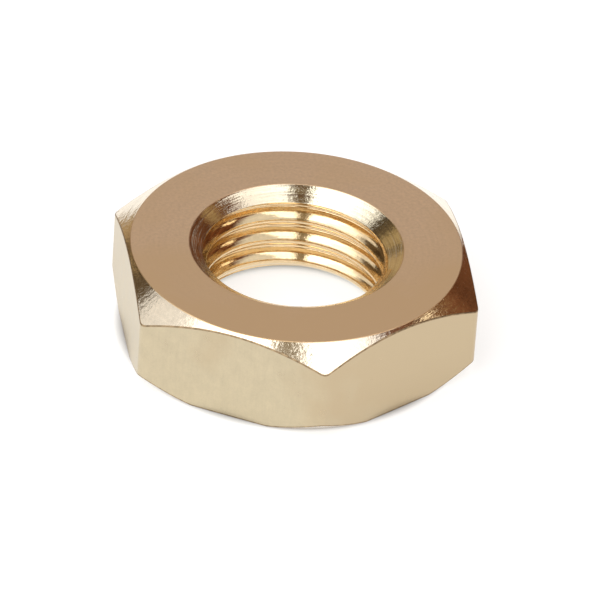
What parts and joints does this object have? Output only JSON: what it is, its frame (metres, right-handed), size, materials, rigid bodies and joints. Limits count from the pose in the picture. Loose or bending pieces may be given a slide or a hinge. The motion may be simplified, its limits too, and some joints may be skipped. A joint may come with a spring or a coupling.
{
  "type": "thin hex nut",
  "caption": "Thin brass hexagon lock nut, chamfered on both faces, with a countersunk fine metric thread through it.",
  "frame": {"origin": "on the thread axis, at the underside", "axes": "+Z along the thread axis, out of the top face; two corners of the hexagon point along Y, two flats face along X"},
  "size_m": [0.017, 0.0194, 0.005],
  "materials": {
    "brass": "machined brass: satin turned faces, bright turned chamfers and thread, plain drawn flats"
  },
  "bodies": {
    "root": {"hex_nut": "brass"}
  },
  "joints": []
}
